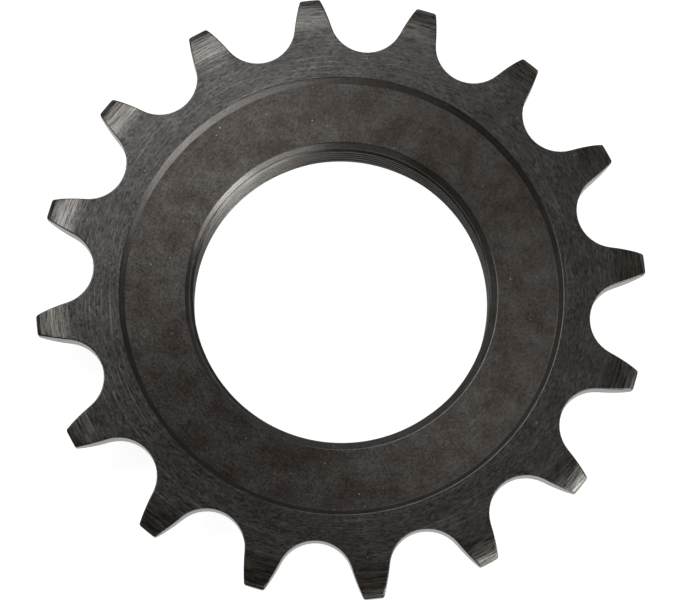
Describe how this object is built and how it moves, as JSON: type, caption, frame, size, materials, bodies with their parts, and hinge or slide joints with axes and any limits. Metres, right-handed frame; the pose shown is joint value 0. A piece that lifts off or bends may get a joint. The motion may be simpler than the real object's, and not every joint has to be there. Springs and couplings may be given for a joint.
{
  "type": "track cog",
  "caption": "Black steel chain wheel for a fixed-gear bicycle hub: a toothed ring with a shallow front recess, a threaded bore and a boss behind.",
  "frame": {"origin": "on the thread's axis, at the back face of the boss", "axes": "+Z along the thread's axis, out of the recessed front face; +X through the middle of a tooth gap"},
  "size_m": [0.069, 0.069, 0.0078],
  "materials": {
    "black_steel": "black oxide on turned steel, satin, with fine turning marks and bright worn edges"
  },
  "bodies": {
    "root": {"track_cog": "black_steel"}
  },
  "joints": []
}
